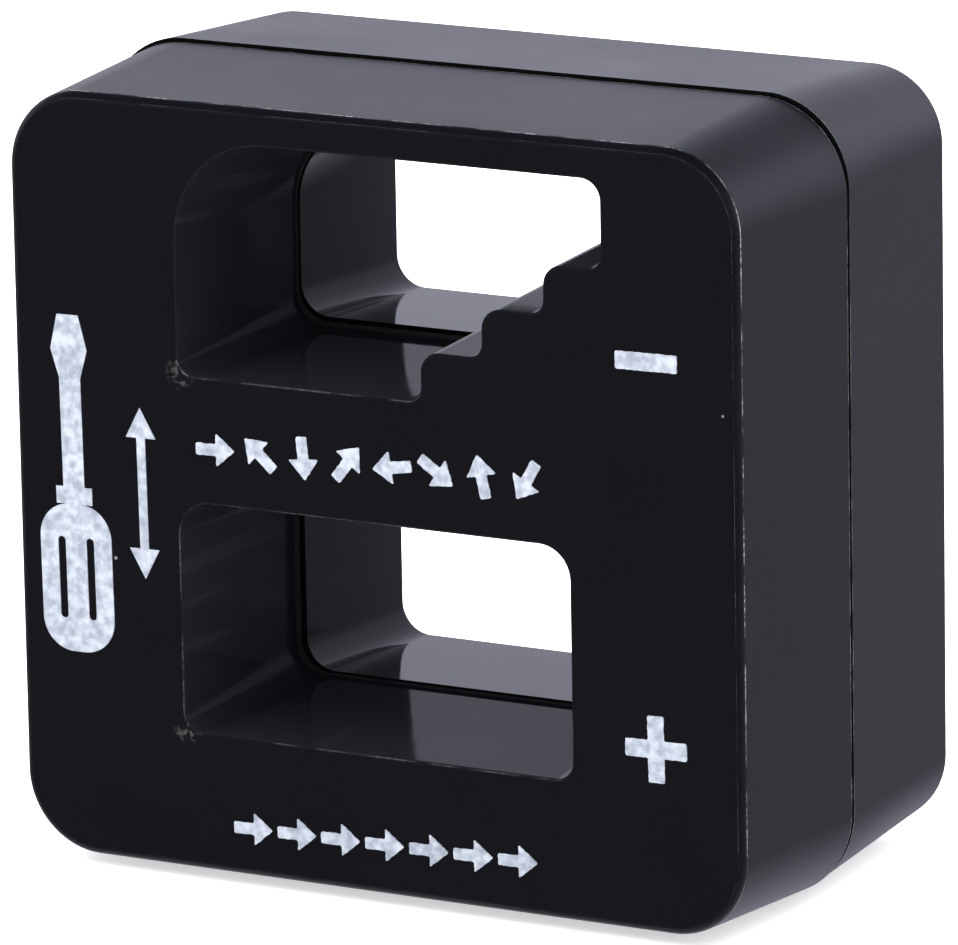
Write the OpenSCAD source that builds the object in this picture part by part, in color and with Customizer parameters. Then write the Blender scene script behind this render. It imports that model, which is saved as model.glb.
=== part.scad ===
// Block magnetizer and demagnetizer, standing upright with its printed face towards -Y.
// Two moulded half shells meet at a seam, form two windows right through the block,
// and hold a pair of ferrite magnets in the columns beside the lower window.
// Origin: under the middle of the block, at the level of its lowest edge. Millimetres.

/* [Body] */
// Width of the block across its seam
body_w = 52; // [51:0.5:54]
// Height of each shell across its seam
body_h = 50; // [49.5:0.5:52]
// Depth of the front shell, from its face to the seam
front_depth = 13; // [12.5:0.5:15]
// Depth of the rear shell, from the seam to its face
rear_depth = 15; // [14.5:0.5:17]
// Draft of the front shell's outer sides, in degrees
front_draft = 3.5; // [2:0.25:4]
// Draft of the rear shell's outer sides, in degrees
rear_draft = 3.4; // [2:0.1:4.5]
// Corner radius of the front shell's outline at the seam
front_corner_r = 5.8; // [5.8:0.1:6.6]
// Corner radius of the rear shell's outline at the seam
rear_corner_r = 5.6; // [5.2:0.1:6.2]
// How much higher the rear shell's outline sits than the front shell's
rear_lift = 0.2; // [0:0.05:0.4]
// Rounding of the front and rear face edges
face_edge_r = 0.6; // [0.3:0.1:1]
// Small rounding where each shell reaches the seam
seam_edge = 0.15; // [0.1:0.05:0.3]

/* [Shell walls] */
// Thickness of the front and rear plates
plate_t = 1.8; // [1.4:0.1:2]
// Distance from the seam outline to the cavity wall
side_t = 2.2; // [2:0.1:2.4]
// Thinnest part of the wall round each window
window_wall_t = 1.3; // [1:0.1:1.3]
// Height of the tongue that locates the two shells
tongue_h = 1.2; // [0.8:0.1:1.6]
// Thickness of the tongue
tongue_t = 0.8; // [0.6:0.1:0.9]
// Clearance that the seam cement fills round the tongue
cement_gap = 0.12; // [0.08:0.02:0.2]

/* [Lower window] */
// Left wall, from the middle of the block
lower_left = -13.55; // [-14:0.05:-13]
// Right wall, from the middle of the block
lower_right = 13.6; // [13:0.05:14]
// Height of the floor above the base
lower_floor = 9.6; // [9:0.1:10]
// Height of the top above the base
lower_top = 24.15; // [23:0.05:24.5]

/* [Stepped window] */
// Left wall, from the middle of the block
upper_left = -13.5; // [-14:0.05:-13]
// Right wall, from the middle of the block
upper_right = 16; // [15.5:0.05:16.2]
// Height of the floor above the base
upper_floor = 32.15; // [31.8:0.05:33]
// Height of the top above the base
upper_top = 46.9; // [46:0.05:47]
// Foot of the first riser, from the middle of the block
first_riser = 3.55; // [3:0.05:4]
// Length of each full step
step_run = 4.25; // [4:0.05:4.3]
// Height of each step
step_rise = 3.1; // [2.8:0.05:3.2]
// Number of steps
steps = 3; // [2:1:3]

/* [Window draft] */
// How much the lower window's sides come in at the front shell's seam
lower_front_side = 0.5; // [0.2:0.05:0.8]
// How much the lower window's sill and top come in at the front shell's seam
lower_front_sill = 0.7; // [0.2:0.05:0.8]
// How much the lower window's sides come in at the rear shell's seam
lower_rear_side = 1.25; // [0.9:0.05:1.3]
// How much the lower window's sill and top come in at the rear shell's seam
lower_rear_sill = 1.0; // [0.8:0.05:1.2]
// How much the stepped window's sides and top come in at the front shell's seam
upper_front_side = 1.05; // [0.5:0.05:1.1]
// How much the stepped window's sill comes in at the front shell's seam
upper_front_sill = 0.65; // [0.4:0.05:0.8]
// How much the stepped window's sides and top come in at the rear shell's seam
upper_rear_side = 1.35; // [1.2:0.05:1.4]
// How much the stepped window's sill comes in at the rear shell's seam
upper_rear_sill = 1.25; // [0.9:0.05:1.3]
// How much the steps come in at the seam, in both shells
step_pinch = 0.4; // [0.2:0.05:0.6]
// How much the lower window's sides go out at the rear face
lower_side_flare = 0.25; // [0:0.05:0.4]
// How much the lower window's sill and top go out at the rear face
lower_sill_flare = 0.35; // [0:0.05:0.45]
// How much the stepped window's sides and top go out at the rear face
upper_side_flare = 0.2; // [0:0.05:0.4]
// How much the stepped window's sill and steps go out at the rear face
upper_sill_flare = 0.05; // [0:0.05:0.4]

/* [Magnets] */
// Thickness of each magnet, which is also its direction of magnetization
magnet_t = 8; // [6:0.5:8]
// Depth of each magnet from front to rear
magnet_depth = 23; // [20:0.5:23]
// Height of each magnet
magnet_h = 25; // [20:0.5:25]
// Height of a magnet's lower end above the base
magnet_base = 4.7; // [4.6:0.1:5]
// Chamfer along a magnet's edges
magnet_chamfer = 0.5; // [0.3:0.1:0.8]
// Thickness of the adhesive under a magnet
adhesive_t = 0.4; // [0.2:0.1:0.6]

/* [Posts] */
// Diameter of the locating posts on the rear shell
post_d = 3; // [2.4:0.1:3]
// Length of a post past the seam
post_reach = 7; // [4:0.5:8]
// Wall thickness of the sockets in the front shell
socket_t = 1; // [0.8:0.1:1.2]

/* [Printed marks] */
// Thickness of the print
ink_t = 0.06; // [0.04:0.01:0.1]
// Slope of the legends, in degrees
print_slope = 0.8; // [0:0.1:1]
// Length of a plus or minus bar
bar_l = 4.15; // [3:0.05:5]
// Thickness of a plus or minus bar
bar_t = 1.1; // [0.8:0.05:1.5]
// Length of a legend arrow
arrow_l = 2.75; // [2:0.05:3]
// Distance from one legend arrow to the next
arrow_pitch = 3.1; // [3:0.05:3.2]

/* [Hidden] */
$fn = 48;

corner_steps = 14;
window_steps = 7;
edge_steps = 4;
over = 1;
shell_color = "#17171c";
ink_color = "#f2f4f8";
cement_color = "#2b2b30";

body_depth = front_depth + rear_depth;
front_y = -body_depth / 2;
rear_y = body_depth / 2;
seam_y = front_y + front_depth;
middle_z = body_h / 2;

cavity_front_y = front_y + plate_t;
cavity_rear_y = rear_y - plate_t;
cavity_r = front_corner_r - side_t;

// Corner radii of the windows: at the foot on the front face, at the foot from the seam on,
// round the steps, at the right of the stepped window, at its large crown corner, and at the
// top of the lower window.
face_foot_r = 1.2;
seam_foot_r = 2;
step_r = 0.9;
// A step's nose and foot have to share the lowest riser, which is the first one at the rear shell's seam.
wanted_nose_r = 1.3;
nose_r = min(wanted_nose_r, step_rise + step_pinch - upper_rear_sill - step_r);
right_r = 1.3;
crown_r = 6.4;
lower_head_r = 2.1;

// The walls round the windows, and the film of cement between their ends.
tube_t = window_wall_t + max(lower_side_flare, lower_sill_flare, upper_side_flare, upper_sill_flare);
film_t = 0.1;

// How far each window comes in from its place on the front face: [sides, sill] for the lower one
// and [sides, sill, steps] for the stepped one.
lower_front_pinch = [lower_front_side, lower_front_sill];
lower_rear_pinch = [lower_rear_side, lower_rear_sill];
lower_flare = [-lower_side_flare, -lower_sill_flare];
lower_film_pinch = (lower_front_pinch + lower_rear_pinch) / 2;
upper_front_pinch = [upper_front_side, upper_front_sill, step_pinch];
upper_rear_pinch = [upper_rear_side, upper_rear_sill, step_pinch];
upper_flare = [-upper_side_flare, -upper_sill_flare, -upper_sill_flare];
upper_film_pinch = (upper_front_pinch + upper_rear_pinch) / 2;
tongue_inset = (side_t - tongue_t) / 2;

// Magnet places.
column_in = max(-lower_left, lower_right) + tube_t;
column_out = body_w / 2 - side_t;
magnet_x = (column_in + column_out) / 2;
magnet_front_y = cavity_front_y + adhesive_t;
pad_t = cavity_rear_y - magnet_front_y - magnet_depth;
pad_margin = 1;
pad_w = magnet_t - 2 * pad_margin;
pad_h = magnet_h - 5 * pad_margin;
pad_corner_r = 0.3;
adhesive_w = magnet_t - 1.5 * pad_margin;
adhesive_h = magnet_h - 3 * pad_margin;

// Ledges that hold the magnets, their gap to a magnet, and the gap left at the seam.
rib_t = 1;
ledge_gap = 0.1;
rib_gap = 0.25;

// Sockets and posts: two beside the stepped window, two under the lower one.
post_fit = 0.03;
post_places = [[-19.4, 38.5], [20.7, 42], [-9.2, 5.1], [9.2, 5.1]];
socket_d = post_d + 2 * socket_t;

// Places of the printed marks on the front face, as [x, z] of their middles.
plus_place = [19.4, 12.3];
minus_place = [19.05, 36.15];
demagnetize_place = [0.15, 27.8];
magnetize_place = [0.5, 4];
screwdriver_place = [-21.1, 24.5];
stroke_place = [-16.15, 24.4];

// The legends: arrows turned every way in one, and all one way in the other.
mixed_arrows = 8;
mixed_turn = 137;
aligned_arrows = 7;
arrow_head_l = arrow_l * 0.48;
arrow_head_w = arrow_l * 0.76;
arrow_shaft_w = arrow_l * 0.27;

// Sizes of the screwdriver pictogram and the stroke arrow.
driver_h = 21.4;
grip_w = 5.1;
grip_h = 9.4;
grip_r = grip_w / 2 - 0.4;
groove_w = 0.55;
groove_h = 5.2;
groove_r = 0.26;
collar_w = 2.55;
collar_h = 1.1;
shaft_w = 1.5;
blade_w = 2.6;
blade_h = 4;
blade_shoulder = 2.2;
stroke_h = 10.8;
stroke_head_l = 1.9;
stroke_head_w = 2.1;
stroke_shaft_w = 0.6;
stroke_overlap = 0.01;

// ---- Outlines, as lists of [x, z, corner radius] for right-angled corners, anticlockwise ----

function inset_body(inset, corner_r) =
    let (w = body_w / 2 - inset, h = body_h - inset, r = corner_r - inset)
    [[-w, inset, r], [w, inset, r], [w, h, r], [-w, h, r]];

function lower_window(pinch, bottom_r, top_r) =
    let (left = lower_left + pinch[0], right = lower_right - pinch[0],
         low = lower_floor + pinch[1], high = lower_top - pinch[1])
    [[left, low, bottom_r], [right, low, bottom_r], [right, high, top_r], [left, high, top_r]];

// Height of the level that a step leads up to. Level 0 is the sill.
function level(i, pinch) = upper_floor + i * step_rise + (i == 0 ? pinch[1] : pinch[2]);

function stepped_window(pinch, foot_r, step_r, nose_r, right_r, crown_r) =
    let (left = upper_left + pinch[0], right = upper_right - pinch[0], high = upper_top - pinch[0])
    concat(
        [[left, level(0, pinch), foot_r]],
        [for (i = [0:steps - 1], up = [0, 1])
            [first_riser + i * step_run - pinch[2], level(i + up, pinch), up == 1 ? nose_r : step_r]],
        [[right, level(steps, pinch), step_r], [right, high, right_r], [left, high, crown_r]]);

function unit(v) = v / norm(v);
function flat(c) = [c[0], c[1]];

// Points of an outline with each right-angled corner rounded by an arc.
function rounded(corners, arc_steps) = [
    for (i = [0:len(corners) - 1])
        let (here = flat(corners[i]),
             back = unit(flat(corners[(i + len(corners) - 1) % len(corners)]) - here),
             ahead = unit(flat(corners[(i + 1) % len(corners)]) - here),
             r = corners[i][2],
             centre = here + r * (back + ahead))
        for (k = [0:arc_steps])
            let (a = 90 * k / arc_steps) centre - r * (cos(a) * ahead + sin(a) * back)];

function at_depth(outline, y) = [for (p = outline) [p[0], y, p[1]]];

// ---- Shapes ----

// A solid through a list of rings that all have the same number of points, front to rear.
module loft(rings) {
    n = len(rings[0]);
    last = (len(rings) - 1) * n;
    front_cap = [[for (i = [n - 1:-1:0]) i]];
    rear_cap = [[for (i = [0:n - 1]) last + i]];
    sides = [for (k = [0:len(rings) - 2], i = [0:n - 1])
        let (a = k * n + i, b = k * n + (i + 1) % n) [a, b, b + n, a + n]];
    polyhedron([for (ring = rings, p = ring) p], concat(front_cap, sides, rear_cap));
}

function body_ring(inset, corner_r, y) =
    at_depth(rounded(inset_body(inset, corner_r), corner_steps), y);

// The outside of one half, from its rounded face edge to its softened seam edge.
// side is -1 for the front half and 1 for the rear half.
module half_body(depth, draft, corner_r, side) {
    slope = tan(draft);
    drafted = depth - seam_edge;
    edge = [for (k = [edge_steps:-1:0])
        let (a = 90 * k / edge_steps, back = face_edge_r * (1 - sin(a)))
        body_ring((drafted - back) * slope + face_edge_r * (1 - cos(a)), corner_r,
            seam_y + side * (depth - back))];
    seam = [body_ring(0, corner_r, seam_y + side * seam_edge), body_ring(seam_edge, corner_r, seam_y)];
    rings = concat(edge, seam);
    loft(side < 0 ? rings : [for (k = [len(rings) - 1:-1:0]) rings[k]]);
}

// Turns a flat shape drawn in x and z into a slab between two depths.
module slab(y0, y1) {
    translate([0, y1, 0]) rotate([90, 0, 0]) linear_extrude(y1 - y0) children();
}

module rounded_rect(inset, r) {
    w = body_w - 2 * inset;
    h = body_h - 2 * inset;
    translate([-w / 2, inset + r]) square([w, h - 2 * r]);
    translate([-w / 2 + r, inset]) square([w - 2 * r, h]);
    for (x = [-1, 1], z = [inset + r, body_h - inset - r])
        translate([x * (w / 2 - r), z]) circle(r);
}

module body_band(outer_inset, inner_inset) {
    difference() {
        rounded_rect(outer_inset, front_corner_r - outer_inset);
        rounded_rect(inner_inset, front_corner_r - inner_inset);
    }
}

module square_cornered(corners) {
    polygon([for (c = corners) flat(c)]);
}

// Outside of the walls round both windows, kept inside the cavity.
module stepped_tube() {
    intersection() {
        square_cornered(stepped_window([-tube_t, -tube_t, -tube_t], 0, 0, 0, 0, 0));
        rounded_rect(side_t, cavity_r);
    }
}

module lower_tube() {
    square_cornered(lower_window([-tube_t, -tube_t], 0, 0));
}

// ---- Windows, which are narrowest at the seam ----

function lower_ring(y, pinch, foot_r) =
    at_depth(rounded(lower_window(pinch, foot_r, lower_head_r), window_steps), y);

function stepped_ring(y, pinch, foot_r) =
    at_depth(rounded(stepped_window(pinch, foot_r, step_r, nose_r, right_r, crown_r - pinch[0]),
        window_steps), y);

module front_window_cuts() {
    loft([lower_ring(front_y - over, [0, 0], face_foot_r), lower_ring(front_y, [0, 0], face_foot_r),
        lower_ring(seam_y, lower_front_pinch, seam_foot_r),
        lower_ring(seam_y + over, lower_front_pinch, seam_foot_r)]);
    loft([stepped_ring(front_y - over, [0, 0, 0], face_foot_r), stepped_ring(front_y, [0, 0, 0], face_foot_r),
        stepped_ring(seam_y, upper_front_pinch, seam_foot_r),
        stepped_ring(seam_y + over, upper_front_pinch, seam_foot_r)]);
}

module rear_window_cuts() {
    loft([lower_ring(seam_y - over, lower_rear_pinch, seam_foot_r),
        lower_ring(seam_y, lower_rear_pinch, seam_foot_r),
        lower_ring(rear_y, lower_flare, seam_foot_r),
        lower_ring(rear_y + over, lower_flare, seam_foot_r)]);
    loft([stepped_ring(seam_y - over, upper_rear_pinch, seam_foot_r),
        stepped_ring(seam_y, upper_rear_pinch, seam_foot_r),
        stepped_ring(rear_y, upper_flare, seam_foot_r),
        stepped_ring(rear_y + over, upper_flare, seam_foot_r)]);
}

// ---- What the shells share ----

module seam_tongue(clearance) {
    slab(seam_y - tongue_h - clearance, seam_y)
        body_band(tongue_inset - clearance, tongue_inset + tongue_t + clearance);
}

module cavity(y0, y1) {
    slab(y0, y1) rounded_rect(side_t, cavity_r);
}

// Ledges above and below each magnet, from the side wall inwards.
module magnet_ledges(y0, y1) {
    intersection() {
        cavity(y0, y1);
        for (side = [-1, 1], z = [magnet_base - rib_t - ledge_gap, magnet_base + magnet_h + ledge_gap])
            translate([side > 0 ? column_in : -body_w / 2, y0, z])
                cube([body_w / 2 - column_in, y1 - y0, rib_t]);
    }
}

module at_posts() {
    for (p = post_places)
        translate([p[0], 0, p[1]]) rotate([90, 0, 0]) children();
}

// ---- Shells ----

module front_shell() {
    color(shell_color)
        difference() {
            union() {
                difference() {
                    half_body(front_depth, front_draft, front_corner_r, -1);
                    cavity(cavity_front_y, seam_y + over);
                }
                slab(cavity_front_y - over / 2, seam_y - film_t / 2) {
                    stepped_tube();
                    lower_tube();
                }
                magnet_ledges(cavity_front_y - over / 2, seam_y - rib_gap);
                translate([0, seam_y - rib_gap, 0]) at_posts()
                    cylinder(h = seam_y - rib_gap - cavity_front_y + over / 2, d = socket_d);
            }
            front_window_cuts();
            seam_tongue(cement_gap);
            translate([0, seam_y + over, 0]) at_posts()
                cylinder(h = post_reach + 2 * over, r = post_d / 2 + post_fit);
        }
}

module rear_shell() {
    color(shell_color) {
        difference() {
            union() {
                difference() {
                    translate([0, 0, rear_lift])
                        half_body(rear_depth, rear_draft, rear_corner_r, 1);
                    cavity(seam_y - over, cavity_rear_y);
                }
                slab(seam_y + film_t / 2, cavity_rear_y + over / 2) {
                    stepped_tube();
                    lower_tube();
                }
                magnet_ledges(seam_y + rib_gap, cavity_rear_y + over / 2);
                translate([0, cavity_rear_y + over / 2, 0]) at_posts()
                    cylinder(h = cavity_rear_y + over / 2 - seam_y - rib_gap, d = socket_d);
                translate([0, cavity_rear_y, 0]) at_posts()
                    cylinder(h = cavity_rear_y - seam_y + post_reach, d = post_d);
                seam_tongue(0);
            }
            rear_window_cuts();
        }
    }
}

// ---- Magnets and what holds them ----

module chamfered(w, h, c) {
    polygon([[-w / 2 + c, 0], [w / 2 - c, 0], [w / 2, c], [w / 2, h - c],
        [w / 2 - c, h], [-w / 2 + c, h], [-w / 2, h - c], [-w / 2, c]]);
}

module magnet(side) {
    color("#4a4a4c")
        translate([side * magnet_x, magnet_front_y, magnet_base])
            intersection() {
                rotate([90, 0, 0]) mirror([0, 0, 1]) linear_extrude(magnet_depth)
                    chamfered(magnet_t, magnet_h, magnet_chamfer);
                linear_extrude(magnet_h) chamfered(magnet_t, magnet_depth, magnet_chamfer);
            }
}

module soft_pad(w, h, r) {
    translate([-w / 2, -h / 2 + r]) square([w, h - 2 * r]);
    translate([-w / 2 + r, -h / 2]) square([w - 2 * r, h]);
    for (x = [-1, 1], z = [-1, 1])
        translate([x * (w / 2 - r), z * (h / 2 - r)]) circle(r);
}

module magnet_pad(side) {
    color("#3a3f44")
        slab(cavity_rear_y - pad_t, cavity_rear_y)
            translate([side * magnet_x, magnet_base + magnet_h / 2]) soft_pad(pad_w, pad_h, pad_corner_r);
}

module magnet_adhesive(side) {
    color("#d8d2b4")
        slab(cavity_front_y, magnet_front_y)
            translate([side * magnet_x, magnet_base + magnet_h / 2])
                soft_pad(adhesive_w, adhesive_h, adhesive_w / 2 - 0.1);
}

module left_magnet() { magnet(-1); }
module right_magnet() { magnet(1); }
module left_magnet_pad() { magnet_pad(-1); }
module right_magnet_pad() { magnet_pad(1); }
module left_magnet_adhesive() { magnet_adhesive(-1); }
module right_magnet_adhesive() { magnet_adhesive(1); }

// ---- Cement in the seam ----

module outer_seam_cement() {
    color(cement_color)
        difference() {
            seam_tongue(cement_gap);
            seam_tongue(0);
        }
}

module stepped_window_cement() {
    color(cement_color)
        slab(seam_y - film_t / 2, seam_y + film_t / 2)
            difference() {
                stepped_tube();
                polygon(rounded(stepped_window(upper_film_pinch, seam_foot_r, step_r, nose_r, right_r,
                    crown_r - upper_film_pinch[0]), window_steps));
            }
}

module lower_window_cement() {
    color(cement_color)
        slab(seam_y - film_t / 2, seam_y + film_t / 2)
            difference() {
                lower_tube();
                polygon(rounded(lower_window(lower_film_pinch, seam_foot_r, lower_head_r), window_steps));
            }
}

// ---- Print on the front face ----

// Places a flat mark on the front face, turned by the slope of the print.
module printed(x, z) {
    color(ink_color)
        slab(front_y - ink_t, front_y)
            translate([x, z]) rotate(print_slope) children();
}

module bar() {
    square([bar_l, bar_t], center = true);
}

// An arrow centred on its middle and pointing along +X.
module arrow(length, head_l, head_w, shaft_w) {
    tip = length / 2;
    neck = tip - head_l;
    polygon([[-tip, -shaft_w / 2], [neck, -shaft_w / 2], [neck, -head_w / 2], [tip, 0],
        [neck, head_w / 2], [neck, shaft_w / 2], [-tip, shaft_w / 2]]);
}

// A row of arrows. Each is turned by turn more than the one before it.
module legend(count, turn) {
    for (i = [0:count - 1])
        translate([(i - (count - 1) / 2) * arrow_pitch, 0]) rotate(i * turn)
            arrow(arrow_l, arrow_head_l, arrow_head_w, arrow_shaft_w);
}

module plus_mark() {
    printed(plus_place[0], plus_place[1]) {
        bar();
        rotate(90) bar();
    }
}

module minus_mark() {
    printed(minus_place[0], minus_place[1]) bar();
}

module demagnetize_legend() {
    printed(demagnetize_place[0], demagnetize_place[1]) legend(mixed_arrows, mixed_turn);
}

module magnetize_legend() {
    printed(magnetize_place[0], magnetize_place[1]) legend(aligned_arrows, 0);
}

// A flat-blade screwdriver, drawn tip upwards.
module screwdriver_mark() {
    foot = -driver_h / 2;
    tip = driver_h / 2;
    printed(screwdriver_place[0], screwdriver_place[1]) {
        difference() {
            translate([0, foot + grip_h / 2]) soft_pad(grip_w, grip_h, grip_r);
            for (x = [-1, 1])
                translate([x * grip_w / 5, foot + grip_h / 2]) soft_pad(groove_w, groove_h, groove_r);
        }
        translate([-collar_w / 2, foot + grip_h]) square([collar_w, collar_h]);
        translate([-shaft_w / 2, foot + grip_h]) square([shaft_w, driver_h - grip_h]);
        polygon([[-shaft_w / 2, tip - blade_h], [shaft_w / 2, tip - blade_h],
            [blade_w / 2, tip - blade_shoulder], [shaft_w / 2, tip],
            [-shaft_w / 2, tip], [-blade_w / 2, tip - blade_shoulder]]);
    }
}

// A two-headed arrow that shows the stroke through the window.
module stroke_mark() {
    printed(stroke_place[0], stroke_place[1])
        for (turn = [90, 270])
            rotate(turn) translate([stroke_h / 4, 0])
                arrow(stroke_h / 2 + stroke_overlap, stroke_head_l, stroke_head_w, stroke_shaft_w);
}

front_shell();
rear_shell();
left_magnet();
right_magnet();
left_magnet_pad();
right_magnet_pad();
left_magnet_adhesive();
right_magnet_adhesive();
outer_seam_cement();
stepped_window_cement();
lower_window_cement();
plus_mark();
minus_mark();
demagnetize_legend();
magnetize_legend();
screwdriver_mark();
stroke_mark();
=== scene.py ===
import math
import random

import bmesh
import bpy
from mathutils import Matrix, Vector


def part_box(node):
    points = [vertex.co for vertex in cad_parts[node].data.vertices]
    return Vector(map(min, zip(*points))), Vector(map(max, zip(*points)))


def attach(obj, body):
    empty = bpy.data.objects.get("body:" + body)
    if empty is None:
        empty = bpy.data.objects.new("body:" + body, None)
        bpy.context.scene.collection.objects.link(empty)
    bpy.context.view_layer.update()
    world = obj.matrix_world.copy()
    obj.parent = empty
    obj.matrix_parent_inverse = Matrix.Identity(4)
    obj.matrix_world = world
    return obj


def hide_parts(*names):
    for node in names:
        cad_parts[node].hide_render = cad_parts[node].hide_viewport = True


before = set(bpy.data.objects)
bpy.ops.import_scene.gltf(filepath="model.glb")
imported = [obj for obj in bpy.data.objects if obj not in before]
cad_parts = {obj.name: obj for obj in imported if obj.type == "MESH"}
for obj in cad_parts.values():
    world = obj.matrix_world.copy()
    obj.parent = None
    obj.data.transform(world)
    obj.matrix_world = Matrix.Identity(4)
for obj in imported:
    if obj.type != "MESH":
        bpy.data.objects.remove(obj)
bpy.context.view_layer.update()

MM = 0.001

# ---- Driving sizes, in millimetres, the same as the CAD's ----

front_low, front_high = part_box("front_shell")
rear_low, rear_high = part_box("rear_shell")

BODY_W = (front_high.x - front_low.x) / MM
BODY_H = (front_high.z - front_low.z) / MM
FRONT_Y = front_low.y / MM
SEAM_Y = front_high.y / MM
REAR_Y = rear_high.y / MM
REAR_LIFT = (rear_low.z - front_low.z) / MM
FRONT_DRAFT = 3.5
REAR_DRAFT = 3.4
FRONT_CORNER_R = 5.8
REAR_CORNER_R = 5.6
FACE_EDGE_R = 0.6
SEAM_EDGE = 0.15

PLATE_T = 1.8
SIDE_T = 2.2
TUBE_T = 1.65
TONGUE_H = 1.2
TONGUE_T = 0.8
TONGUE_INSET = (SIDE_T - TONGUE_T) / 2
CEMENT_GAP = 0.12
FILM_T = 0.1

# Windows: left, right, floor and top on the front face.
LOWER = (-13.55, 13.6, 9.6, 24.15)
UPPER = (-13.5, 16.0, 32.15, 46.9)
FIRST_RISER = 3.55
STEP_RUN = 4.25
STEP_RISE = 3.1
STEPS = 3
FACE_FOOT_R = 1.2
SEAM_FOOT_R = 2.0
STEP_R = 0.9
NOSE_R = 1.3
RIGHT_R = 1.3
CROWN_R = 6.4
LOWER_HEAD_R = 2.1
MOUTH_R = 0.22

# How far a window's sides, its sill and its steps come in from their places on the front face.
LOWER_FRONT_PINCH = (0.5, 0.7)
LOWER_REAR_PINCH = (1.25, 1.0)
LOWER_FLARE = (-0.25, -0.35)
UPPER_FRONT_PINCH = (1.05, 0.65, 0.4)
UPPER_REAR_PINCH = (1.35, 1.25, 0.4)
UPPER_FLARE = (-0.2, -0.05, -0.05)

POST_D = 3.0
POST_REACH = 7.0
POST_FIT = 0.03
SOCKET_T = 1.0
POST_PLACES = [(-19.4, 38.5), (20.7, 42.0), (-9.2, 5.1), (9.2, 5.1)]
RIB_T = 1.0
RIB_GAP = 0.25
RIB_BITE = 0.3
LEDGE_GAP = 0.1
OVER = 1.0

INK_T = 0.06
PRINT_SLOPE = math.radians(0.8)

CAVITY_FRONT_Y = FRONT_Y + PLATE_T
CAVITY_REAR_Y = REAR_Y - PLATE_T


# ---- Outlines: lists of (x, z, radius) for right-angled corners, anticlockwise ----

def body_outline(inset, corner_r=FRONT_CORNER_R):
    half, r = BODY_W / 2 - inset, corner_r - inset
    return [(-half, inset, r), (half, inset, r), (half, BODY_H - inset, r), (-half, BODY_H - inset, r)]


def lower_window(pinch, foot_r, grow=0.0):
    left, right, floor, top = LOWER
    side, sill = (inset - grow for inset in pinch)
    return [(left + side, floor + sill, foot_r + grow), (right - side, floor + sill, foot_r + grow),
            (right - side, top - sill, LOWER_HEAD_R + grow), (left + side, top - sill, LOWER_HEAD_R + grow)]


def stepped_window(pinch, foot_r, grow=0.0):
    """grow moves the outline outwards as an offset does, so that outer corners open and noses tighten."""
    left, right, floor, top = UPPER
    side, sill, step = (inset - grow for inset in pinch)
    levels = [floor + sill] + [floor + i * STEP_RISE + step for i in range(1, STEPS + 1)]
    corners = [(left + side, levels[0], foot_r + grow)]
    for i in range(STEPS):
        riser = FIRST_RISER + i * STEP_RUN - step
        corners.append((riser, levels[i], STEP_R + grow))
        corners.append((riser, levels[i + 1], NOSE_R - grow))
    corners.append((right - side, levels[-1], STEP_R + grow))
    corners.append((right - side, top - side, RIGHT_R + grow))
    corners.append((left + side, top - side, CROWN_R - pinch[0] + grow))
    return corners


def between(first, second, t):
    return tuple(a + (b - a) * t for a, b in zip(first, second))


def rounded(corners, steps):
    """Points (x, z) of an outline with each right-angled corner rounded by an arc."""
    points = []
    for i, (x, z, r) in enumerate(corners):
        here = Vector((x, z))
        back = (Vector(corners[i - 1][:2]) - here).normalized()
        ahead = (Vector(corners[(i + 1) % len(corners)][:2]) - here).normalized()
        centre = here + r * (back + ahead)
        for k in range(steps + 1):
            a = math.pi / 2 * k / steps
            points.append(centre - r * (math.cos(a) * ahead + math.sin(a) * back))
    return points


def at_depth(outline, y, lift=0.0):
    return [(p[0], y, p[1] + lift) for p in outline]


# ---- Solids ----

def loft(name, rings):
    """A closed mesh through rings that all have the same number of points."""
    mesh = bmesh.new()
    rows = [[mesh.verts.new([c * MM for c in point]) for point in ring] for ring in rings]
    for row, after in zip(rows, rows[1:]):
        for i in range(len(row)):
            j = (i + 1) % len(row)
            mesh.faces.new((row[i], row[j], after[j], after[i]))
    mesh.faces.new(list(reversed(rows[0])))
    mesh.faces.new(rows[-1])
    bmesh.ops.remove_doubles(mesh, verts=mesh.verts, dist=1e-8)
    bmesh.ops.recalc_face_normals(mesh, faces=mesh.faces)
    return placed(name, mesh)


def placed(name, mesh):
    data = bpy.data.meshes.new(name)
    mesh.to_mesh(data)
    mesh.free()
    piece = bpy.data.objects.new(name, data)
    bpy.context.scene.collection.objects.link(piece)
    return piece


def prism(name, outline, y0, y1):
    return loft(name, [at_depth(outline, y0), at_depth(outline, y1)])


def cylinder(name, x, z, r, y0, y1, sides=48):
    turns = [2 * math.pi * k / sides for k in range(sides)]
    return prism(name, [(x + r * math.cos(a), z + r * math.sin(a)) for a in turns], y0, y1)


def block(name, x0, x1, z0, z1, y0, y1):
    return prism(name, [(x0, z0), (x1, z0), (x1, z1), (x0, z1)], y0, y1)


def combine(piece, tool, operation):
    """piece after one boolean with tool, which is used up."""
    change = piece.modifiers.new("boolean", "BOOLEAN")
    change.operation = operation
    change.solver = "EXACT"
    change.object = tool
    graph = bpy.context.evaluated_depsgraph_get()
    data = bpy.data.meshes.new_from_object(piece.evaluated_get(graph))
    old = piece.data
    piece.modifiers.clear()
    piece.data = data
    bpy.data.meshes.remove(old)
    bpy.data.objects.remove(tool, do_unlink=True)
    return piece


# ---- The outside of each half ----

EDGE_STEPS = 8
OUTLINE_STEPS = 18
WINDOW_STEPS = 10
MOUTH_STEPS = 4
WALL_STEPS = 4
# Width of the strip beside the seam that wear shows on.
RIM = 0.12


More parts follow.
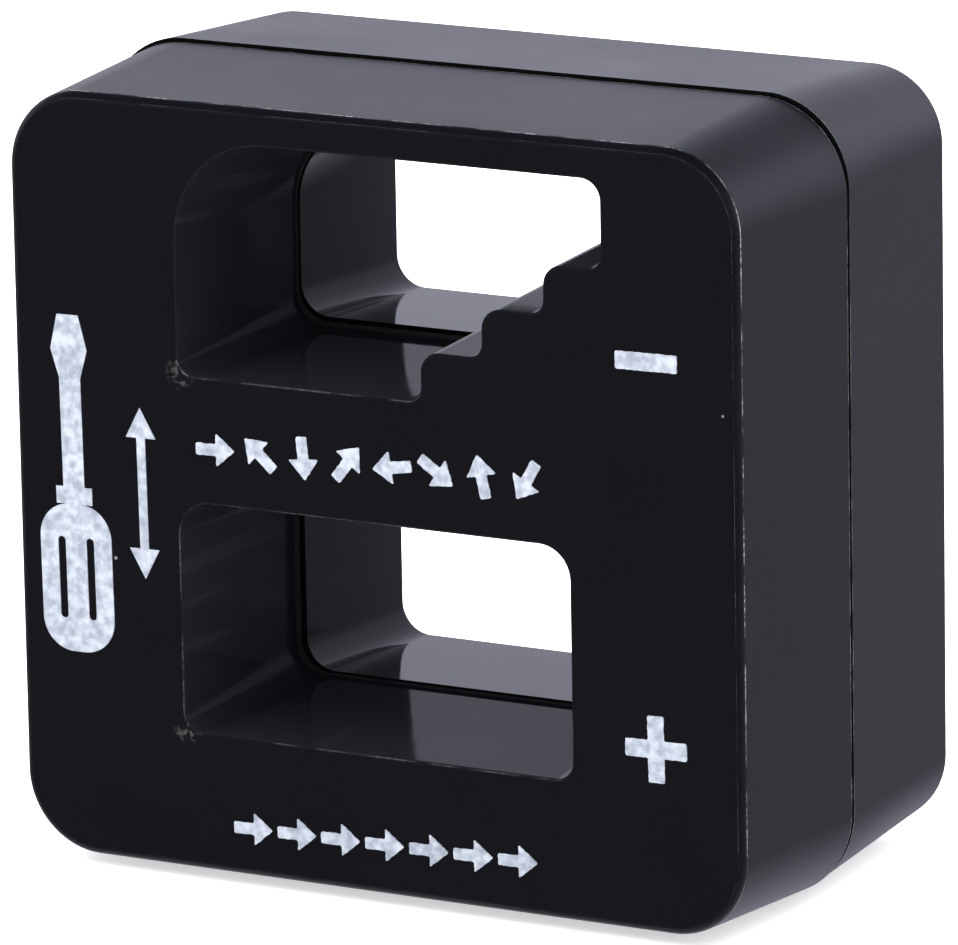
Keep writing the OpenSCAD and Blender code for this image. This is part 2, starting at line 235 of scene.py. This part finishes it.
def half_body(name, depth, draft, corner_r, side, lift):
    slope = math.tan(math.radians(draft))
    drafted = depth - SEAM_EDGE
    rings = []
    for k in range(EDGE_STEPS, -1, -1):
        a = math.pi / 2 * k / EDGE_STEPS
        back = FACE_EDGE_R * (1 - math.sin(a))
        inset = (drafted - back) * slope + FACE_EDGE_R * (1 - math.cos(a))
        rings.append((inset, SEAM_Y + side * (depth - back)))
    rings.append((RIM * slope, SEAM_Y + side * (SEAM_EDGE + RIM)))
    rings.append((0.0, SEAM_Y + side * SEAM_EDGE))
    rings.append((SEAM_EDGE, SEAM_Y))
    return loft(name, [at_depth(rounded(body_outline(inset, corner_r), OUTLINE_STEPS), y, lift)
                       for inset, y in rings])


# ---- The windows ----

def window_cut(name, shape, face_y, seam_y, face_inset, seam_inset, face_foot_r):
    """A window through one half, with a rounded mouth at the face."""
    side = 1 if seam_y > face_y else -1
    rings = [at_depth(rounded(shape(face_inset, face_foot_r, MOUTH_R), WINDOW_STEPS), face_y - side * OVER)]
    for k in range(MOUTH_STEPS + 1):
        a = math.pi / 2 * k / MOUTH_STEPS
        out = MOUTH_R * (1 - math.sin(a))
        y = face_y + side * MOUTH_R * (1 - math.cos(a))
        rings.append(at_depth(rounded(shape(face_inset, face_foot_r, out), WINDOW_STEPS), y))
    for k in range(1, WALL_STEPS + 1):
        t = k / WALL_STEPS
        inset = between(face_inset, seam_inset, t)
        foot_r = face_foot_r + (SEAM_FOOT_R - face_foot_r) * t
        y = face_y + side * MOUTH_R + (seam_y - face_y - side * MOUTH_R) * t
        rings.append(at_depth(rounded(shape(inset, foot_r), WINDOW_STEPS), y))
    rings.append(at_depth(rounded(shape(seam_inset, SEAM_FOOT_R), WINDOW_STEPS), seam_y + side * OVER))
    return loft(name, rings)


def plain(outline):
    return [(x, z) for x, z, _ in outline]


def window_tubes(y0, y1):
    """The walls round both windows, before the windows are cut."""
    upper = prism("upper_tube", plain(stepped_window((-TUBE_T, -TUBE_T, -TUBE_T), 0)), y0, y1)
    inside = prism("inside", rounded(body_outline(SIDE_T), OUTLINE_STEPS), y0 - OVER, y1 + OVER)
    upper = combine(upper, inside, "INTERSECT")
    return upper, prism("lower_tube", plain(lower_window((-TUBE_T, -TUBE_T), 0)), y0, y1)


def tongue(name, clearance, y1):
    y0 = SEAM_Y - TONGUE_H - clearance
    outer = prism(name, rounded(body_outline(TONGUE_INSET - clearance), OUTLINE_STEPS), y0, y1)
    inset = TONGUE_INSET + TONGUE_T + clearance
    inner = prism("inner", rounded(body_outline(inset), OUTLINE_STEPS), y0 - OVER, y1 + OVER)
    return combine(outer, inner, "DIFFERENCE")


magnet_low, magnet_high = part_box("right_magnet")
COLUMN_IN = max(-LOWER[0], LOWER[1]) + TUBE_T


def magnet_ledges(y0, y1):
    """Ledges above and below each magnet, running into the side wall."""
    reach = BODY_W / 2 - SIDE_T + RIB_BITE
    heights = (magnet_low.z / MM - RIB_T - LEDGE_GAP, magnet_high.z / MM + LEDGE_GAP)
    for z in heights:
        yield block("ledge", COLUMN_IN - OVER / 2, reach, z, z + RIB_T, y0, y1)
        yield block("ledge", -reach, -COLUMN_IN + OVER / 2, z, z + RIB_T, y0, y1)


def make_front_shell():
    shell = half_body("front_housing", SEAM_Y - FRONT_Y, FRONT_DRAFT, FRONT_CORNER_R, -1, 0.0)
    cavity = prism("cavity", rounded(body_outline(SIDE_T), OUTLINE_STEPS), CAVITY_FRONT_Y, SEAM_Y + OVER)
    shell = combine(shell, cavity, "DIFFERENCE")
    root_y = CAVITY_FRONT_Y - OVER / 2
    for tube in window_tubes(root_y, SEAM_Y - FILM_T / 2):
        shell = combine(shell, tube, "UNION")
    for ledge in magnet_ledges(root_y, SEAM_Y - RIB_GAP):
        shell = combine(shell, ledge, "UNION")
    for x, z in POST_PLACES:
        socket = cylinder("socket", x, z, POST_D / 2 + SOCKET_T, root_y, SEAM_Y - RIB_GAP)
        shell = combine(shell, socket, "UNION")
    shell = combine(shell, tongue("groove", CEMENT_GAP, SEAM_Y + OVER), "DIFFERENCE")
    for x, z in POST_PLACES:
        hole = cylinder("hole", x, z, POST_D / 2 + POST_FIT, SEAM_Y - POST_REACH - OVER, SEAM_Y + OVER)
        shell = combine(shell, hole, "DIFFERENCE")
    lower = window_cut("lower", lower_window, FRONT_Y, SEAM_Y, (0, 0), LOWER_FRONT_PINCH, FACE_FOOT_R)
    upper = window_cut("upper", stepped_window, FRONT_Y, SEAM_Y, (0, 0, 0), UPPER_FRONT_PINCH, FACE_FOOT_R)
    return combine(combine(shell, lower, "DIFFERENCE"), upper, "DIFFERENCE")


def make_rear_shell():
    shell = half_body("rear_housing", REAR_Y - SEAM_Y, REAR_DRAFT, REAR_CORNER_R, 1, REAR_LIFT)
    cavity = prism("cavity", rounded(body_outline(SIDE_T), OUTLINE_STEPS), SEAM_Y - OVER, CAVITY_REAR_Y)
    shell = combine(shell, cavity, "DIFFERENCE")
    root_y = CAVITY_REAR_Y + OVER / 2
    for tube in window_tubes(SEAM_Y + FILM_T / 2, root_y):
        shell = combine(shell, tube, "UNION")
    for ledge in magnet_ledges(SEAM_Y + RIB_GAP, root_y):
        shell = combine(shell, ledge, "UNION")
    for x, z in POST_PLACES:
        boss = cylinder("boss", x, z, POST_D / 2 + SOCKET_T, SEAM_Y + RIB_GAP, root_y)
        shell = combine(shell, boss, "UNION")
        post = cylinder("post", x, z, POST_D / 2, SEAM_Y - POST_REACH, root_y - OVER / 4)
        shell = combine(shell, post, "UNION")
    shell = combine(shell, tongue("tongue", 0.0, SEAM_Y + OVER), "UNION")
    lower = window_cut("lower", lower_window, REAR_Y, SEAM_Y, LOWER_FLARE, LOWER_REAR_PINCH, SEAM_FOOT_R)
    upper = window_cut("upper", stepped_window, REAR_Y, SEAM_Y, UPPER_FLARE, UPPER_REAR_PINCH, SEAM_FOOT_R)
    return combine(combine(shell, lower, "DIFFERENCE"), upper, "DIFFERENCE")


def inside_outline(x, z, points):
    inside = False
    for (x1, z1), (x2, z2) in zip(points, points[1:] + points[:1]):
        if (z1 > z) != (z2 > z) and x < (x2 - x1) * (z - z1) / (z2 - z1) + x1:
            inside = not inside
    return inside


# A point counts as at a window up to this far outside its outline.
WALL_REACH = 0.6
WALL_REGIONS = [rounded(lower_window((0, 0), SEAM_FOOT_R, WALL_REACH), WINDOW_STEPS),
                rounded(stepped_window((0, 0, 0), SEAM_FOOT_R, WALL_REACH), WINDOW_STEPS)]

# Wear, from 0 to 1: at the window mouths, partly a painted highlight, less of it above the stepped window's
# floor, and beside the seam.
MOUTH_WEAR_AND_HIGHLIGHT = 0.62
HIGH_MOUTH_SHARE = 0.7
SEAM_WEAR = 0.9
# Two lines of wear and painted highlight round the face's edge: degrees from the side, strength, and degrees
# for it to fade by 1.
EDGE_WEAR_AND_HIGHLIGHT = ((11.25, 1.0, 8), (67.5, 0.55, 14))
# A face belongs to the seam this near to it, and to a window's wall if its normal has less of Y than this.
SEAM_BAND = SEAM_EDGE * 0.7
WALL_NORMAL_Y = 0.6


def paint_walls(shell):
    """Gives the window walls their own material and the seam a near-black painted shade, and marks thin lines
    for wear and painted highlight.
    """
    data = shell.data
    worn_and_highlit = data.attributes.new("edge", "FLOAT", "POINT")
    for i, vertex in enumerate(data.vertices):
        x, y, z = (c / MM for c in vertex.co)
        near = min(y - FRONT_Y, REAR_Y - y)
        at_window = any(inside_outline(x, z, points) for points in WALL_REGIONS)
        # Painted highlight, partly wear: a light line round the middle of each window mouth's rounded edge.
        if at_window and near < MOUTH_R:
            a = math.asin(max(0.0, min(1.0, 1 - near / MOUTH_R)))
            share = 1 if z < UPPER[2] + 1 else HIGH_MOUTH_SHARE
            worn_and_highlit.data[i].value = MOUTH_WEAR_AND_HIGHLIGHT * math.sin(2 * a) * share
        # Painted highlight, partly wear: two light lines round the rounded edge of the front face.
        elif near < FACE_EDGE_R:
            a = math.degrees(math.asin(max(0.0, min(1.0, 1 - near / FACE_EDGE_R))))
            lines = [strength - abs(a - angle) / width for angle, strength, width in EDGE_WEAR_AND_HIGHLIGHT]
            worn_and_highlit.data[i].value = max(0.0, *lines)
        elif abs(abs(y - SEAM_Y) - SEAM_EDGE) < 0.01 and not at_window:
            worn_and_highlit.data[i].value = SEAM_WEAR
    for face in data.polygons:
        x, y, z = (c / MM for c in face.center)
        at_window = any(inside_outline(x, z, points) for points in WALL_REGIONS)
        if abs(y - SEAM_Y) < SEAM_BAND:
            # The faces at the seam get the near-black painted shade.
            face.material_index = 2
        elif at_window and abs(face.normal.y) < WALL_NORMAL_Y:
            face.material_index = 1


def smooth(piece, angle=35.0):
    data = piece.data
    data.shade_smooth()
    data.set_sharp_from_angle(angle=math.radians(angle))
    weighted = piece.modifiers.new("weighted", "WEIGHTED_NORMAL")
    weighted.keep_sharp = True


# ---- Materials ----

class Nodes:
    """Short names for building a material's nodes."""

    def __init__(self, name):
        self.material = bpy.data.materials.new(name)
        self.material.use_nodes = True
        self.tree = self.material.node_tree
        self.shader = self.tree.nodes["Principled BSDF"]
        self.place = self.add("ShaderNodeTexCoord").outputs["Object"]

    def add(self, kind, **settings):
        node = self.tree.nodes.new(kind)
        for key, value in settings.items():
            setattr(node, key, value)
        return node

    def link(self, a, b):
        self.tree.links.new(a, b)

    def scaled(self, scale):
        node = self.add("ShaderNodeMapping")
        node.inputs["Scale"].default_value = scale
        self.link(self.place, node.inputs["Vector"])
        return node.outputs["Vector"]

    def noise(self, scale, detail=4.0, stretch=(1, 1, 1)):
        node = self.add("ShaderNodeTexNoise")
        node.inputs["Scale"].default_value = scale
        node.inputs["Detail"].default_value = detail
        self.link(self.scaled(stretch), node.inputs["Vector"])
        return node.outputs["Fac"]

    def specks(self, scale, size):
        """1 in small round spots, one in some of the cells of a grid of that scale."""
        node = self.add("ShaderNodeTexVoronoi")
        node.inputs["Scale"].default_value = scale
        self.link(self.place, node.inputs["Vector"])
        near = self.ramp(node.outputs["Distance"], size * 0.6, 1.0, size, 0.0)
        cell = self.add("ShaderNodeSeparateColor")
        self.link(node.outputs["Color"], cell.inputs["Color"])
        chosen = self.ramp(cell.outputs["Red"], 0.93, 0.0, 0.95, 1.0)
        return self.math("MULTIPLY", near, chosen)

    def ramp(self, value, low_in, low_out, high_in, high_out):
        node = self.add("ShaderNodeMapRange")
        for socket, number in zip(("From Min", "From Max", "To Min", "To Max"),
                                  (low_in, high_in, low_out, high_out)):
            node.inputs[socket].default_value = number
        self.link(value, node.inputs["Value"])
        return node.outputs["Result"]

    def math(self, operation, a, b):
        node = self.add("ShaderNodeMath", operation=operation)
        for value, socket in ((a, node.inputs[0]), (b, node.inputs[1])):
            if isinstance(value, float):
                socket.default_value = value
            else:
                self.link(value, socket)
        return node.outputs[0]

    def blend(self, factor, a, b):
        node = self.add("ShaderNodeMix", data_type="RGBA")
        self.link(factor, node.inputs[0])
        for value, socket in ((a, node.inputs[6]), (b, node.inputs[7])):
            if isinstance(value, tuple):
                socket.default_value = (*value, 1.0)
            else:
                self.link(value, socket)
        return node.outputs[2]

    def bump(self, height, strength, distance):
        node = self.add("ShaderNodeBump")
        node.inputs["Strength"].default_value = strength
        node.inputs["Distance"].default_value = distance
        self.link(height, node.inputs["Height"])
        self.link(node.outputs["Normal"], self.shader.inputs["Normal"])


def worn_and_highlit_edges(nodes, width):
    """Fine broken wear, partly painted highlight, along the lines that carry the edge attribute."""
    edge = nodes.add("ShaderNodeAttribute", attribute_name="edge").outputs["Fac"]
    patch = nodes.ramp(nodes.noise(380, 5.0), 0.40, 0.0, 0.58, 1.0)
    broken = nodes.ramp(nodes.noise(3600, 3.0), 0.38, 0.15, 0.62, 1.0)
    ridge = nodes.ramp(edge, width, 0.0, 1.0, 1.0)
    return nodes.math("MULTIPLY", nodes.math("MULTIPLY", ridge, patch), broken)


def near_point(nodes, x, z, reach):
    """1 at that place on the front face, falling to 0 at reach millimetres from it."""
    gap = nodes.add("ShaderNodeVectorMath", operation="DISTANCE")
    nodes.link(nodes.place, gap.inputs[0])
    gap.inputs[1].default_value = (x * MM, FRONT_Y * MM, z * MM)
    return nodes.ramp(gap.outputs["Value"], reach * MM * 0.35, 1.0, reach * MM, 0.0)


SCUFF_REACH = 1.1


def satin_black():
    """The outside of the housing: fine satin black with a little dust, and worn edges that are partly painted
    highlights.
    """
    nodes = Nodes("housing_satin")
    # Light grey lines of wear and painted highlight along the marked edges.
    wear_and_highlight = worn_and_highlit_edges(nodes, 0.45)
    lower_corner, upper_corner = (near_point(nodes, window[0] + 0.2, window[2] + 0.1, SCUFF_REACH)
                                  for window in (LOWER, UPPER))
    corners = nodes.math("MAXIMUM", lower_corner, upper_corner)
    scuffed = nodes.math("MULTIPLY", corners, nodes.ramp(nodes.noise(3400, 5.0), 0.50, 0.0, 0.72, 0.3))
    dust = nodes.specks(330, 0.045)
    mottled = nodes.blend(nodes.noise(160), (0.0010, 0.0010, 0.0020), (0.0022, 0.0022, 0.0040))
    dusty = nodes.blend(dust, mottled, (0.16, 0.16, 0.18))
    scuffs = nodes.blend(scuffed, dusty, (0.22, 0.20, 0.19))
    nodes.link(nodes.blend(wear_and_highlight, scuffs, (0.30, 0.30, 0.31)), nodes.shader.inputs["Base Color"])
    nodes.link(nodes.ramp(nodes.noise(90, 3.0), 0.3, 0.36, 0.7, 0.40), nodes.shader.inputs["Roughness"])
    nodes.shader.inputs["IOR"].default_value = 1.46
    nodes.bump(nodes.noise(3600, 3.0), 0.12, 0.00002)
    return nodes.material


def glossy_black():
    """The window walls, which the mould's polished cores leave glossier."""
    nodes = Nodes("housing_gloss")
    dust = nodes.specks(420, 0.07)
    pits = nodes.specks(610, 0.06)
    scratch = nodes.ramp(nodes.noise(500, 2.0, (1, 0.06, 1)), 0.66, 0.0, 0.72, 1.0)
    plastic = nodes.blend(scratch, (0.0095, 0.0095, 0.0130), (0.014, 0.014, 0.018))
    # Light lines of wear and painted highlight round the window mouths.
    worn_and_highlit = nodes.blend(worn_and_highlit_edges(nodes, 0.5), plastic, (0.16, 0.16, 0.17))
    nodes.link(nodes.blend(dust, worn_and_highlit, (0.30, 0.30, 0.32)), nodes.shader.inputs["Base Color"])
    smooth_rough = nodes.ramp(nodes.noise(160, 3.0), 0.3, 0.05, 0.7, 0.10)
    nodes.link(nodes.math("MAXIMUM", smooth_rough, pits), nodes.shader.inputs["Roughness"])
    nodes.shader.inputs["IOR"].default_value = 1.10
    nodes.bump(nodes.noise(200, 2.0), 0.10, 0.0001)
    return nodes.material


def seam_painted_shade():
    """Painted shade: the rough faces inside the joint, made near black and dull to stand for the shadow in
    the gap.
    """
    nodes = Nodes("seam_shadow")
    nodes.link(nodes.blend(nodes.noise(900), (0.0003, 0.0003, 0.0004), (0.0016, 0.0016, 0.0018)),
               nodes.shader.inputs["Base Color"])
    nodes.shader.inputs["Roughness"].default_value = 0.75
    nodes.shader.inputs["Specular IOR Level"].default_value = 0.08
    nodes.bump(nodes.noise(1500), 0.4, 0.00005)
    return nodes.material


def ink_white():
    nodes = Nodes("white_ink")
    mottle = nodes.ramp(nodes.noise(1800, 5.0), 0.35, 0.0, 0.65, 1.0)
    nodes.link(nodes.blend(mottle, (0.22, 0.245, 0.30), (0.40, 0.43, 0.49)),
               nodes.shader.inputs["Base Color"])
    nodes.shader.inputs["Roughness"].default_value = 0.55
    nodes.bump(nodes.noise(4000, 3.0), 0.3, 0.00002)
    return nodes.material


def ferrite_grey():
    nodes = Nodes("sintered_ferrite")
    grain = nodes.noise(2200, 6.0)
    ground = nodes.noise(900, 3.0, (1, 0.04, 1))
    nodes.link(nodes.blend(grain, (0.045, 0.045, 0.048), (0.12, 0.12, 0.125)),
               nodes.shader.inputs["Base Color"])
    nodes.link(nodes.ramp(ground, 0.3, 0.35, 0.7, 0.6), nodes.shader.inputs["Roughness"])
    nodes.shader.inputs["Metallic"].default_value = 0.35
    nodes.bump(ground, 0.25, 0.00004)
    return nodes.material


def dark_cement():
    nodes = Nodes("seam_cement")
    nodes.link(nodes.blend(nodes.noise(700), (0.004, 0.004, 0.005), (0.016, 0.016, 0.018)),
               nodes.shader.inputs["Base Color"])
    nodes.link(nodes.ramp(nodes.noise(500), 0.3, 0.18, 0.7, 0.4), nodes.shader.inputs["Roughness"])
    nodes.bump(nodes.noise(900), 0.3, 0.00005)
    return nodes.material


def closed_cell_foam():
    nodes = Nodes("closed_cell_foam")
    cells = nodes.add("ShaderNodeTexVoronoi")
    cells.inputs["Scale"].default_value = 2600
    nodes.link(nodes.place, cells.inputs["Vector"])
    nodes.link(nodes.blend(cells.outputs["Distance"], (0.030, 0.033, 0.037), (0.085, 0.092, 0.10)),
               nodes.shader.inputs["Base Color"])
    nodes.shader.inputs["Roughness"].default_value = 0.9
    nodes.bump(cells.outputs["Distance"], 0.6, 0.0001)
    return nodes.material


def hot_melt():
    nodes = Nodes("hot_melt_adhesive")
    nodes.link(nodes.blend(nodes.noise(350), (0.60, 0.54, 0.36), (0.80, 0.75, 0.56)),
               nodes.shader.inputs["Base Color"])
    nodes.link(nodes.ramp(nodes.noise(300), 0.3, 0.15, 0.7, 0.32), nodes.shader.inputs["Roughness"])
    nodes.shader.inputs["Subsurface Weight"].default_value = 0.3
    nodes.shader.inputs["Subsurface Scale"].default_value = 0.001
    nodes.bump(nodes.noise(420), 0.3, 0.0001)
    return nodes.material


SATIN = satin_black()
GLOSS = glossy_black()
# Near-black painted shade for the faces inside the joint.
SEAM_SHADE = seam_painted_shade()
INK = ink_white()


# ---- Housing ----

for make, node in ((make_front_shell, "front_shell"), (make_rear_shell, "rear_shell")):
    shell = make()
    shell.data.materials.clear()
    shell.data.materials.append(SATIN)
    shell.data.materials.append(GLOSS)
    shell.data.materials.append(SEAM_SHADE)
    paint_walls(shell)
    smooth(shell)
    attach(shell, "root")
    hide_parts(node)


# ---- Print: thin closed meshes with slightly rough edges ----

INK_STEP = 0.16
INK_ROUGHNESS = 0.022
rough = random.Random(11)


def middle(node):
    low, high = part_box(node)
    return (low.x + high.x) / 2 / MM, (low.z + high.z) / 2 / MM


def fine_outline(points):
    """The outline in short steps, each pushed a little in or out."""
    fine = []
    for (x1, z1), (x2, z2) in zip(points, points[1:] + points[:1]):
        length = math.hypot(x2 - x1, z2 - z1)
        count = max(1, round(length / INK_STEP))
        for k in range(count):
            push = rough.uniform(-1, 1) * INK_ROUGHNESS if k else 0.0
            x = x1 + (x2 - x1) * k / count - (z2 - z1) / max(length, 1e-9) * push
            z = z1 + (z2 - z1) * k / count + (x2 - x1) / max(length, 1e-9) * push
            fine.append((x, z))
    return fine


def soft_corners(points, r):
    """Cuts each corner of an outline with a short curve."""
    soft = []
    for i, (x, z) in enumerate(points):
        here = Vector((x, z))
        for to in (points[i - 1], points[(i + 1) % len(points)]):
            step = Vector(to) - here
            reach = min(r, step.length / 3)
            soft.append(here + step.normalized() * reach)
    return [(p[0], p[1]) for p in soft]


def print_shapes(node, name, shapes):
    """shapes are outlines round the mark's own middle, in millimetres."""
    x0, z0 = middle(node)
    mesh = bmesh.new()
    turn_x, turn_z = math.cos(PRINT_SLOPE), math.sin(PRINT_SLOPE)
    for points in shapes:
        rows = []
        outline = [(x0 + x * turn_x - z * turn_z, z0 + x * turn_z + z * turn_x) for x, z in points]
        for y in (FRONT_Y - INK_T, FRONT_Y):
            rows.append([mesh.verts.new((x * MM, y * MM, z * MM)) for x, z in outline])
        for i in range(len(outline)):
            j = (i + 1) % len(outline)
            mesh.faces.new((rows[0][i], rows[0][j], rows[1][j], rows[1][i]))
        mesh.faces.new(rows[0])
        mesh.faces.new(list(reversed(rows[1])))
    bmesh.ops.recalc_face_normals(mesh, faces=mesh.faces)
    piece = placed(name, mesh)
    piece.data.materials.append(INK)
    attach(piece, "root")
    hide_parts(node)


def arrow(length, head_l, head_w, shaft_w, turn=0.0, along=0.0):
    tip = length / 2
    neck = tip - head_l
    points = [(-tip, -shaft_w / 2), (neck, -shaft_w / 2), (neck, -head_w / 2), (tip, 0),
              (neck, head_w / 2), (neck, shaft_w / 2), (-tip, shaft_w / 2)]
    c, s = math.cos(turn), math.sin(turn)
    points = fine_outline(soft_corners(points, 0.08))
    return [(along + x * c - z * s, x * s + z * c) for x, z in points]


BAR_L = 4.15
BAR_T = 1.1
ARROW_L = 2.75
ARROW_HEAD_L = ARROW_L * 0.48
ARROW_HEAD_W = ARROW_L * 0.76
ARROW_SHAFT_W = ARROW_L * 0.27
ARROW_PITCH = 3.1
MIXED_ARROWS = 8
MIXED_TURN = math.radians(137)
ALIGNED_ARROWS = 7


def cross_outline(length, thickness):
    a, b = thickness / 2, length / 2
    return [(-a, -b), (a, -b), (a, -a), (b, -a), (b, a), (a, a), (a, b), (-a, b), (-a, a), (-b, a), (-b, -a),
            (-a, -a)]


def bar_outline(length, thickness):
    return [(-length / 2, -thickness / 2), (length / 2, -thickness / 2),
            (length / 2, thickness / 2), (-length / 2, thickness / 2)]


def legend(count, turn):
    return [arrow(ARROW_L, ARROW_HEAD_L, ARROW_HEAD_W, ARROW_SHAFT_W, i * turn,
                  (i - (count - 1) / 2) * ARROW_PITCH) for i in range(count)]


print_shapes("plus_mark", "plus_print", [fine_outline(soft_corners(cross_outline(BAR_L, BAR_T), 0.07))])
print_shapes("minus_mark", "minus_print", [fine_outline(soft_corners(bar_outline(BAR_L, BAR_T), 0.07))])
print_shapes("magnetize_legend", "aligned_arrows_print", legend(ALIGNED_ARROWS, 0.0))
print_shapes("demagnetize_legend", "mixed_arrows_print", legend(MIXED_ARROWS, MIXED_TURN))


# ---- Carried-over pieces ----

for names, material in (
        (("left_magnet", "right_magnet"), ferrite_grey()),
        (("outer_seam_cement", "stepped_window_cement", "lower_window_cement"), dark_cement()),
        (("screwdriver_mark", "stroke_mark"), INK)):
    for name in names:
        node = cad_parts[name]
        node.data.materials.clear()
        node.data.materials.append(material)


# ---- Soft inner pieces ----

def soft_block(name, node, bulge, corner_r, rows=10):
    """A rounded block that fills its node's box, fuller at half depth."""
    low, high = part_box(node)
    x0, x1, z0, z1 = low.x / MM, high.x / MM, low.z / MM, high.z / MM
    y0, y1 = low.y / MM, high.y / MM
    rings = []
    for k in range(rows + 1):
        t = k / rows
        pull = bulge * (1 - math.sin(math.pi * t) ** 0.6)
        corners = [(x0 + pull, z0 + pull, corner_r), (x1 - pull, z0 + pull, corner_r),
                   (x1 - pull, z1 - pull, corner_r), (x0 + pull, z1 - pull, corner_r)]
        rings.append(at_depth(rounded(corners, 8), y0 + (y1 - y0) * t))
    return loft(name, rings)


FOAM = closed_cell_foam()
MELT = hot_melt()

for side in ("left", "right"):
    pad = soft_block(side + "_foam_pad", side + "_magnet_pad", 0.12, 0.5)
    pad.data.materials.append(FOAM)
    smooth(pad)
    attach(pad, "root")
    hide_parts(side + "_magnet_pad")
    bead = soft_block(side + "_adhesive_bead", side + "_magnet_adhesive", 0.3, 2.6)
    bead.data.materials.append(MELT)
    smooth(bead)
    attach(bead, "root")
    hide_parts(side + "_magnet_adhesive")


# ---- Floor, light and world ----

# In metres.
FLOOR_SIZE = 6.0
# Tilt from overhead and direction, both in degrees, and strength.
SUNS = ((0, 0, 3.0), (42, 20, 2.4), (42, 140, 2.4), (42, 260, 2.4))
SUN_SPREAD = 100
# Height of the direction, from -1 to 1, and the light from there.
WORLD_STOPS = ((-1.0, 0.70), (-0.5, 0.52), (-0.3, 0.22), (-0.1, 0.34), (0.1, 0.75), (0.34, 0.9), (0.56, 0.14),
               (1.0, 0.03))
WORLD_TINT = (0.92, 0.94, 1.12)
# From where to where along Y the world's strength goes up, and its values in front and behind.
WORLD_RISE = (-0.7, 0.8, 0.35, 1.45)
# Azimuth, elevation and roll in degrees. The lens and the offsets are in millimetres.
CAMERA_ANGLES = (29.229, 13.806, -1.019)
CAMERA_LENS = 355.39
CAMERA_ACROSS, CAMERA_UP, CAMERA_BACK = 6.544, 2.336, 573.65


def make_floor():
    """A pale floor that gives off light of its own, which keeps the block's shadow on it light."""
    mesh = bmesh.new()
    bmesh.ops.create_grid(mesh, x_segments=1, y_segments=1, size=FLOOR_SIZE)
    floor = placed("floor", mesh)
    nodes = Nodes("floor_white")
    nodes.link(nodes.blend(nodes.noise(4), (0.80, 0.80, 0.80), (0.82, 0.82, 0.82)),
               nodes.shader.inputs["Base Color"])
    nodes.shader.inputs["Roughness"].default_value = 0.9
    nodes.shader.inputs["Specular IOR Level"].default_value = 0.0
    nodes.shader.inputs["Emission Color"].default_value = (1, 1, 1, 1)
    nodes.shader.inputs["Emission Strength"].default_value = 0.55
    floor.data.materials.append(nodes.material)
    floor.visible_glossy = False


def make_suns():
    """Soft light from above on every side, so that the floor stays even. Reflections see only the world."""
    for i, (tilt, around, strength) in enumerate(SUNS):
        light = bpy.data.lights.new(f"soft_sun_{i}", "SUN")
        light.energy = strength
        light.angle = math.radians(SUN_SPREAD)
        sun = bpy.data.objects.new(f"soft_sun_{i}", light)
        bpy.context.scene.collection.objects.link(sun)
        sun.rotation_euler = (math.radians(tilt), 0, math.radians(around))
        sun.visible_glossy = False


def make_world():
    """Bright near the horizon and from the table below, dark overhead, and dimmer in front than behind."""
    world = bpy.data.worlds.new("studio")
    world.use_nodes = True
    bpy.context.scene.world = world
    tree = world.node_tree
    place = tree.nodes.new("ShaderNodeTexCoord")
    split = tree.nodes.new("ShaderNodeSeparateXYZ")
    tree.links.new(place.outputs["Generated"], split.inputs["Vector"])
    height = tree.nodes.new("ShaderNodeMapRange")
    height.inputs["From Min"].default_value = -1.0
    tree.links.new(split.outputs["Z"], height.inputs["Value"])
    ramp = tree.nodes.new("ShaderNodeValToRGB")
    tree.links.new(height.outputs["Result"], ramp.inputs["Fac"])
    bar = ramp.color_ramp.elements
    while len(bar) < len(WORLD_STOPS):
        bar.new(0.5)
    for stop, (z, light) in zip(bar, WORLD_STOPS):
        stop.position = (z + 1) / 2
        stop.color = (*(light * tint for tint in WORLD_TINT), 1)
    behind = tree.nodes.new("ShaderNodeMapRange")
    behind.interpolation_type = "SMOOTHSTEP"
    for socket, number in zip(("From Min", "From Max", "To Min", "To Max"), WORLD_RISE):
        behind.inputs[socket].default_value = number
    tree.links.new(split.outputs["Y"], behind.inputs["Value"])
    tree.links.new(ramp.outputs["Color"], tree.nodes["Background"].inputs["Color"])
    tree.links.new(behind.outputs["Result"], tree.nodes["Background"].inputs["Strength"])


def make_camera():
    """The view of the front and right faces, from a little above."""
    azimuth, elevation, roll = (math.radians(a) for a in CAMERA_ANGLES)
    back = Vector((math.sin(azimuth) * math.cos(elevation), -math.cos(azimuth) * math.cos(elevation),
                   math.sin(elevation)))
    right = Vector((math.cos(azimuth), math.sin(azimuth), 0))
    up = back.cross(right)
    across = math.cos(roll) * right + math.sin(roll) * up
    upwards = -math.sin(roll) * right + math.cos(roll) * up
    target = Vector((0, front_low.y, (front_low.z + front_high.z) / 2))
    data = bpy.data.cameras.new("camera")
    data.sensor_width = 36
    data.lens = CAMERA_LENS
    data.clip_start, data.clip_end = 0.05, 20
    camera = bpy.data.objects.new("camera", data)
    bpy.context.scene.collection.objects.link(camera)
    camera.rotation_mode = "QUATERNION"
    axes = (across, upwards, back)
    turned = [[axis[i] for axis in axes] for i in range(3)]
    camera.rotation_quaternion = Matrix(turned).to_quaternion()
    place = CAMERA_ACROSS * across + CAMERA_UP * upwards + CAMERA_BACK * back
    camera.location = target + place * MM
    bpy.context.scene.camera = camera


make_floor()
make_suns()
make_world()
make_camera()
bpy.context.scene.view_settings.view_transform = "Standard"

bpy.context.view_layer.update()
